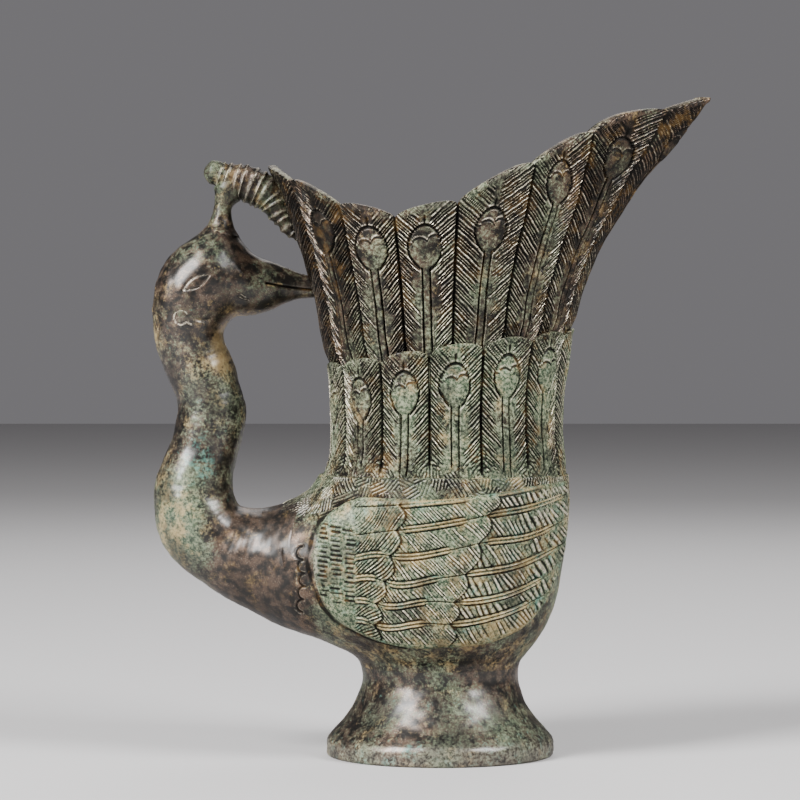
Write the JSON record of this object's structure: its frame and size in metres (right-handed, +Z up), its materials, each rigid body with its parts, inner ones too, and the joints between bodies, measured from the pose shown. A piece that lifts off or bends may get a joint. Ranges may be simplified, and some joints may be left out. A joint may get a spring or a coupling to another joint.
{
  "type": "bronze wine cup",
  "caption": "Peacock-shaped pouring cup: round foot, bird body, tail of eyed feathers opening to a long spout, curved neck as the handle.",
  "frame": {"origin": "on the table plane, below the middle of the cup's overall length and width", "axes": "+Z up, +X the way the spout points, +Y towards the bird's left wing"},
  "size_m": [0.1383, 0.067, 0.1635],
  "materials": {
    "foot_bronze": "dark brown bronze, satin, with patches of green patina",
    "belly_bronze": "dark brown bronze with green patina",
    "lower_feather_bronze": "chased bronze with pale green patina",
    "upper_feather_bronze": "chased dark bronze with ochre in the grooves",
    "wing_bronze": "chased bronze with pale green patina",
    "neck_bronze": "worn brown bronze with turquoise and ochre patches",
    "head_bronze": "dark bronze, polished by handling",
    "crest_bronze": "ribbed dark bronze"
  },
  "bodies": {
    "root": {"foot": "foot_bronze", "belly": "belly_bronze", "lower_feathers": "lower_feather_bronze", "upper_feathers": "upper_feather_bronze", "left_wing": "wing_bronze", "right_wing": "wing_bronze", "neck": "neck_bronze", "head": "head_bronze", "crest_stalk": "crest_bronze", "crest_plume": "crest_bronze"}
  },
  "joints": []
}
